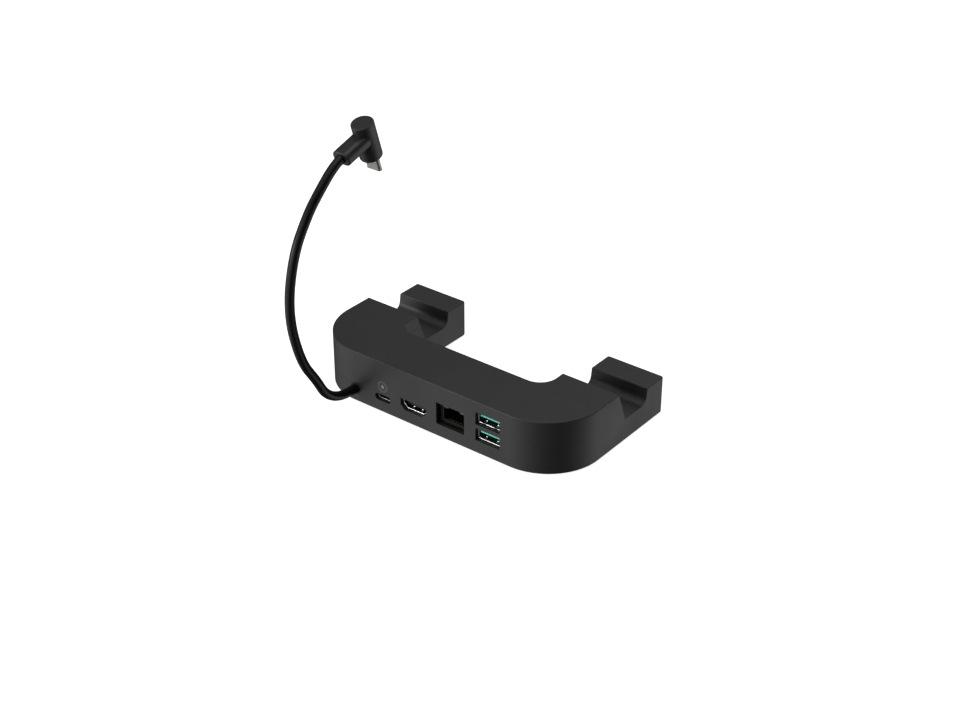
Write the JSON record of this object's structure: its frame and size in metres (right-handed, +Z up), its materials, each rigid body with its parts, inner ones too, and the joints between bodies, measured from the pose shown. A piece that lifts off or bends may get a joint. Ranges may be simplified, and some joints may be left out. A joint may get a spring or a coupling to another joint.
{
  "type": "handheld console dock",
  "caption": "Low U-shaped dock for a handheld game console: two cradle arms, a rear row of data, network, video and power sockets, and a captive lead with a right-angle plug.",
  "frame": {"origin": "on the floor under the middle of the housing, cord and plug left out", "axes": "+X along the row of sockets, +Y from the sockets to the cradle prongs, +Z up"},
  "size_m": [0.151, 0.1256, 0.142],
  "materials": {
    "shell_plastic": "fine moulded texture",
    "base_plastic": "fine moulded texture",
    "foot_rubber": "soft",
    "screw_steel": "black zinc",
    "board_laminate": "solder mask",
    "chip_resin": "moulded resin",
    "ferrite": "pressed powder",
    "can_metal": "drawn can",
    "terminal_plastic": "moulded nylon",
    "led_resin": "clear resin",
    "socket_steel": "bright tin plate",
    "shield_steel": "nickel plate",
    "socket_black": "moulded",
    "jack_black": "moulded",
    "window_amber": "tinted window",
    "window_green": "tinted window",
    "contact_gold": "gold flash",
    "core_teal": "moulded nylon",
    "guide_clear": "frosted clear",
    "ring_print": "printed",
    "gland_rubber": "soft",
    "lead_jacket": "smooth jacket",
    "plug_plastic": "fine moulded texture",
    "nose_steel": "satin nickel"
  },
  "bodies": {
    "root": {"upper_shell": "shell_plastic", "base_plate": "base_plastic", "foot_rear_left": "foot_rubber", "foot_rear_right": "foot_rubber", "foot_front_left": "foot_rubber", "foot_front_right": "foot_rubber", "base_screws": "screw_steel", "main_board": "board_laminate", "board_screws": "screw_steel", "hub_chip": "chip_resin", "video_chip": "chip_resin", "network_chip": "chip_resin", "network_transformer": "chip_resin", "power_inductor": "ferrite", "crystal": "can_metal", "capacitors": "can_metal", "lead_terminal": "terminal_plastic", "status_led": "led_resin", "power_inlet_shell": "socket_steel", "power_inlet_core": "socket_black", "video_socket_shell": "socket_steel", "video_socket_core": "socket_black", "network_shield": "shield_steel", "network_housing": "jack_black", "network_light_left": "window_amber", "network_light_right": "window_green", "network_contacts": "contact_gold", "type_a_shell_lower": "socket_steel", "type_a_shell_upper": "socket_steel", "type_a_core_lower": "core_teal", "type_a_core_upper": "core_teal", "type_a_contacts_lower": "contact_gold", "type_a_contacts_upper": "contact_gold", "type_a_frame": "jack_black", "status_light_guide": "guide_clear", "ring_mark": "ring_print", "cable_gland": "gland_rubber", "lead_tail": "lead_jacket", "lead": "lead_jacket", "plug_body": "plug_plastic", "plug_nose": "nose_steel", "plug_core": "socket_black"}
  },
  "joints": []
}
